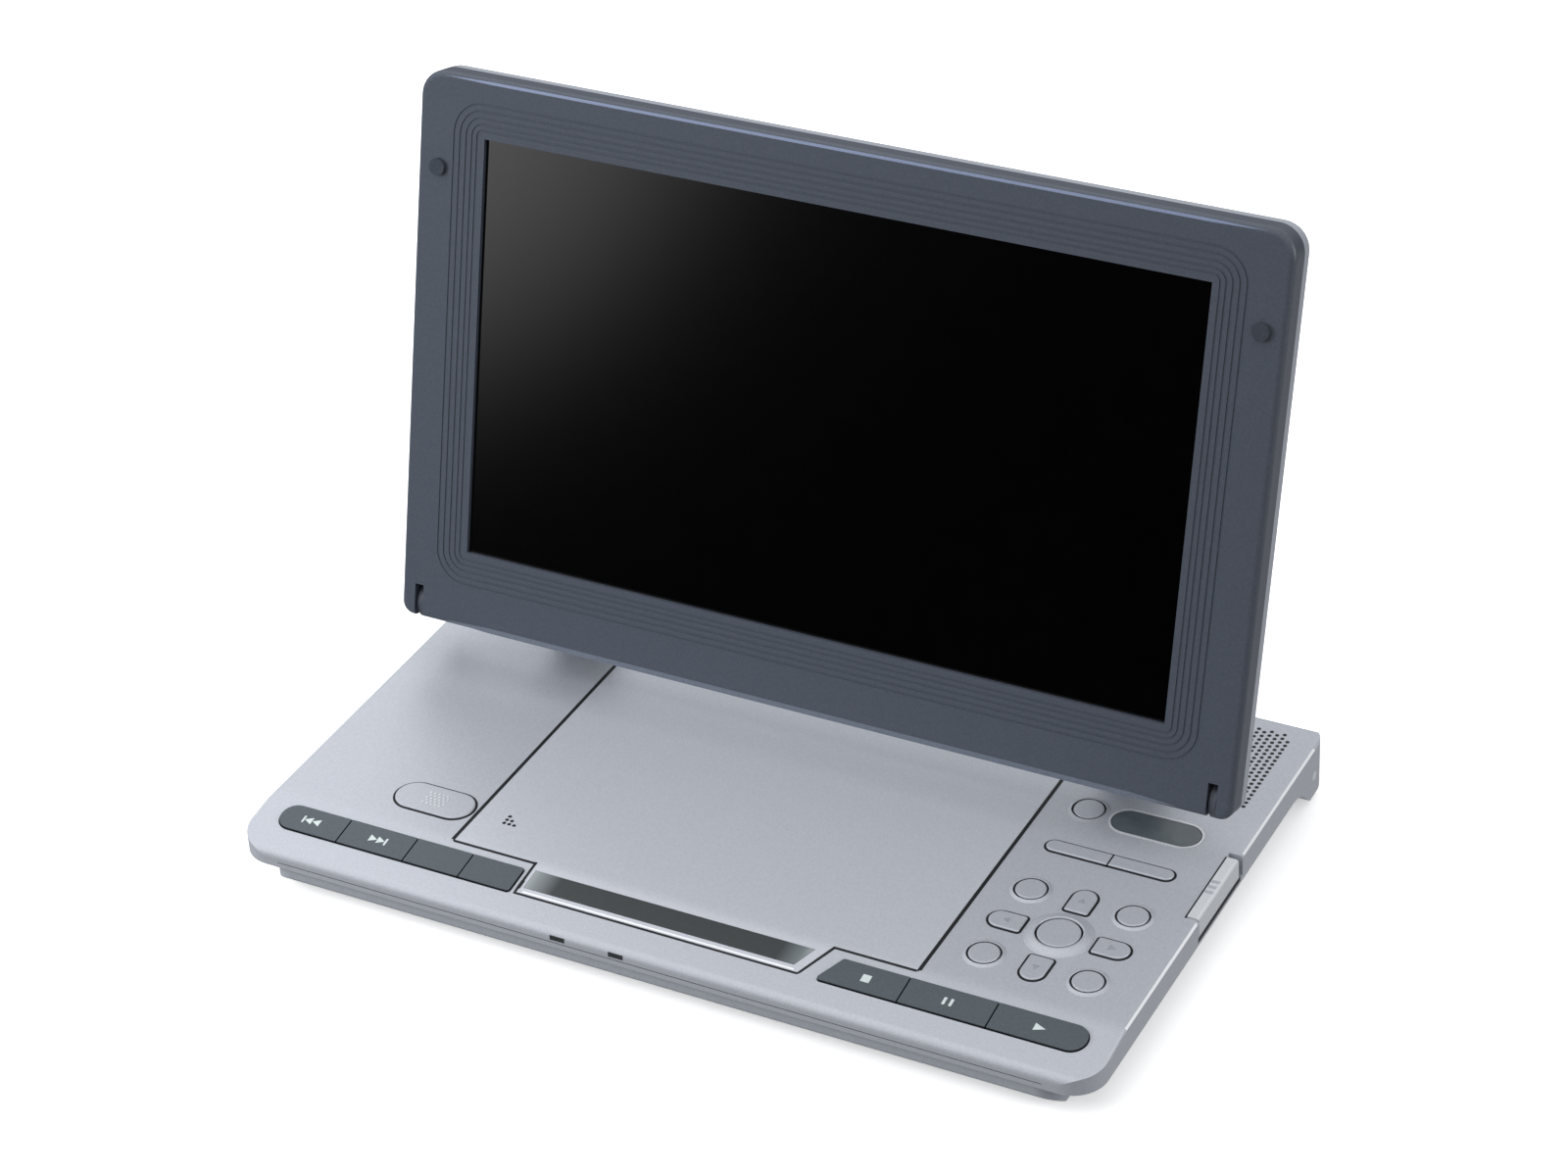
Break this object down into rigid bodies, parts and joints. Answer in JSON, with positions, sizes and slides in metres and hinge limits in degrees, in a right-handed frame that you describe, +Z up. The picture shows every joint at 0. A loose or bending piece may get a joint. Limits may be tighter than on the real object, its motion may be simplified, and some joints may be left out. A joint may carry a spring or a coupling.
{
  "type": "portable disc player",
  "caption": "Flat portable disc player: flip-up disc lid, pad and transport keys, and a wide screen that leans back on a swinging frame or folds shut over the base.",
  "frame": {"origin": "on the table, under the middle of the base", "axes": "+X to the user's right along the base, +Y to the rear, +Z up"},
  "size_m": [0.239, 0.151, 0.175],
  "materials": {
    "silver_shell": "fine silver paint on moulded plastic",
    "silver_lower": "fine silver-grey paint on moulded plastic",
    "dark_key": "satin dark grey moulded caps",
    "dark_shell": "satin dark blue-grey moulded frame",
    "silver_back": "satin silver paint on moulded plastic",
    "dark_trim": "dark satin plastic",
    "screen_glass": "black polished screen",
    "clear_lens": "polished lens",
    "rubber_black": "matt black rubber",
    "steel": "turned or pressed steel",
    "light_metal": "plain light metal",
    "board_green": "green printed circuit board"
  },
  "bodies": {
    "base": {"top_cover": "silver_shell", "bottom_case": "silver_lower", "battery_cover": "silver_lower", "battery_cells": "light_metal", "rubber_feet": "rubber_black", "case_screws": "steel", "main_board": "board_green", "key_boards": "board_green", "deck_plate": "dark_trim", "deck_grommets": "rubber_black", "spindle_motor": "steel", "guide_rods": "steel", "sled_motor": "steel", "speaker_left": "steel", "speaker_right": "steel", "jack_block": "dark_trim", "indicator_lenses": "dark_trim", "source_label": "dark_trim", "lid_hinge_pins": "steel", "arm_pivot_pins": "steel"},
    "lid": {"disc_lid": "silver_shell", "lid_inlay": "dark_trim"},
    "latch": {"lid_latch": "dark_trim"},
    "turntable_body": {"turntable": "dark_trim"},
    "pickup": {"optical_pickup": "dark_trim", "pickup_lens": "clear_lens"},
    "feed_screw": {"lead_screw": "steel"},
    "arm": {"screen_arm": "silver_back"},
    "link": {"tilt_link": "steel"},
    "screen": {"screen_bezel": "dark_shell", "screen_back_cover": "silver_back", "lcd_panel": "screen_glass", "lcd_module": "light_metal", "screen_board": "board_green", "bumper_pads": "rubber_black", "tilt_pins": "steel", "screen_screws": "steel"},
    "open_button_body": {"open_button": "silver_shell"},
    "power_switch_body": {"power_switch": "silver_shell"},
    "key_previous_body": {"key_previous": "dark_key"},
    "key_next_body": {"key_next": "dark_key"},
    "key_skip_body": {"key_skip": "dark_key"},
    "key_mode_body": {"key_mode": "dark_key"},
    "key_stop_body": {"key_stop": "dark_key"},
    "key_pause_body": {"key_pause": "dark_key"},
    "key_play_body": {"key_play": "dark_key"},
    "key_enter_body": {"key_enter": "silver_shell"},
    "key_right_body": {"key_right": "silver_shell"},
    "key_up_body": {"key_up": "silver_shell"},
    "key_left_body": {"key_left": "silver_shell"},
    "key_down_body": {"key_down": "silver_shell"},
    "key_title_body": {"key_title": "silver_shell"},
    "key_menu_body": {"key_menu": "silver_shell"},
    "key_display_body": {"key_display": "silver_shell"},
    "key_return_body": {"key_return": "silver_shell"},
    "key_source_body": {"key_source": "silver_shell"},
    "key_picture_body": {"key_picture": "silver_shell"},
    "key_sound_body": {"key_sound": "silver_shell"}
  },
  "joints": [
    {"name": "lid_open", "type": "hinge", "parent": "base", "child": "lid", "pos_m": [0, 0.0596, 0.0148], "axis": [-1, 0, 0], "range_deg": [0, 13]},
    {"name": "arm_swing", "type": "hinge", "parent": "base", "child": "arm", "pos_m": [0, 0.05092, 0.012], "axis": [1, 0, 0], "range_deg": [-132.26, 0]},
    {"name": "link_level", "type": "hinge", "parent": "arm", "child": "link", "pos_m": [0, 0.02563, 0.02912], "axis": [1, 0, 0], "range_deg": [0, 132.26]},
    {"name": "screen_tilt", "type": "hinge", "parent": "link", "child": "screen", "pos_m": [0, 0.01543, 0.03332], "axis": [-1, 0, 0], "range_deg": [-105, 15]},
    {"name": "turntable_spin", "type": "hinge", "parent": "base", "child": "turntable_body", "pos_m": [0, -0.0025, 0.0105], "axis": [0, 0, 1], "continuous": true},
    {"name": "pickup_slide", "type": "slide", "parent": "base", "child": "pickup", "axis": [0, -1, 0], "range_m": [0, 0.034]},
    {"name": "lead_screw_spin", "type": "hinge", "parent": "base", "child": "feed_screw", "pos_m": [0.029, -0.04, 0.0065], "axis": [0, 1, 0], "range_deg": [0, 4100]},
    {"name": "open_press", "type": "slide", "parent": "base", "child": "open_button_body", "axis": [0, 0, -1], "range_m": [0, 0.0006], "stiffness_N_per_m": 800},
    {"name": "latch_slide", "type": "slide", "parent": "base", "child": "latch", "axis": [0, -1, 0], "range_m": [0, 0.001]},
    {"name": "power_slide", "type": "slide", "parent": "base", "child": "power_switch_body", "axis": [0, 1, 0], "range_m": [0, 0.002]},
    {"name": "key_previous_press", "type": "slide", "parent": "base", "child": "key_previous_body", "axis": [0, 0, -1], "range_m": [0, 0.0006], "stiffness_N_per_m": 800},
    {"name": "key_next_press", "type": "slide", "parent": "base", "child": "key_next_body", "axis": [0, 0, -1], "range_m": [0, 0.0006], "stiffness_N_per_m": 800},
    {"name": "key_skip_press", "type": "slide", "parent": "base", "child": "key_skip_body", "axis": [0, 0, -1], "range_m": [0, 0.0006], "stiffness_N_per_m": 800},
    {"name": "key_mode_press", "type": "slide", "parent": "base", "child": "key_mode_body", "axis": [0, 0, -1], "range_m": [0, 0.0006], "stiffness_N_per_m": 800},
    {"name": "key_stop_press", "type": "slide", "parent": "base", "child": "key_stop_body", "axis": [0, 0, -1], "range_m": [0, 0.0006], "stiffness_N_per_m": 800},
    {"name": "key_pause_press", "type": "slide", "parent": "base", "child": "key_pause_body", "axis": [0, 0, -1], "range_m": [0, 0.0006], "stiffness_N_per_m": 800},
    {"name": "key_play_press", "type": "slide", "parent": "base", "child": "key_play_body", "axis": [0, 0, -1], "range_m": [0, 0.0006], "stiffness_N_per_m": 800},
    {"name": "key_enter_press", "type": "slide", "parent": "base", "child": "key_enter_body", "axis": [0, 0, -1], "range_m": [0, 0.0006], "stiffness_N_per_m": 800},
    {"name": "key_right_press", "type": "slide", "parent": "base", "child": "key_right_body", "axis": [0, 0, -1], "range_m": [0, 0.0006], "stiffness_N_per_m": 800},
    {"name": "key_up_press", "type": "slide", "parent": "base", "child": "key_up_body", "axis": [0, 0, -1], "range_m": [0, 0.0006], "stiffness_N_per_m": 800},
    {"name": "key_left_press", "type": "slide", "parent": "base", "child": "key_left_body", "axis": [0, 0, -1], "range_m": [0, 0.0006], "stiffness_N_per_m": 800},
    {"name": "key_down_press", "type": "slide", "parent": "base", "child": "key_down_body", "axis": [0, 0, -1], "range_m": [0, 0.0006], "stiffness_N_per_m": 800},
    {"name": "key_title_press", "type": "slide", "parent": "base", "child": "key_title_body", "axis": [0, 0, -1], "range_m": [0, 0.0006], "stiffness_N_per_m": 800},
    {"name": "key_menu_press", "type": "slide", "parent": "base", "child": "key_menu_body", "axis": [0, 0, -1], "range_m": [0, 0.0006], "stiffness_N_per_m": 800},
    {"name": "key_display_press", "type": "slide", "parent": "base", "child": "key_display_body", "axis": [0, 0, -1], "range_m": [0, 0.0006], "stiffness_N_per_m": 800},
    {"name": "key_return_press", "type": "slide", "parent": "base", "child": "key_return_body", "axis": [0, 0, -1], "range_m": [0, 0.0006], "stiffness_N_per_m": 800},
    {"name": "key_source_press", "type": "slide", "parent": "base", "child": "key_source_body", "axis": [0, 0, -1], "range_m": [0, 0.0006], "stiffness_N_per_m": 800},
    {"name": "key_picture_press", "type": "slide", "parent": "base", "child": "key_picture_body", "axis": [0, 0, -1], "range_m": [0, 0.0006], "stiffness_N_per_m": 800},
    {"name": "key_sound_press", "type": "slide", "parent": "base", "child": "key_sound_body", "axis": [0, 0, -1], "range_m": [0, 0.0006], "stiffness_N_per_m": 800}
  ],
  "couplings": [
    {"joint": "link_level", "follows": "arm_swing", "ratio": -1},
    {"joint": "lead_screw_spin", "follows": "pickup_slide", "rad_per_m": 2094.4},
    {"joint": "latch_slide", "follows": "open_press", "ratio": 1.6666}
  ]
}
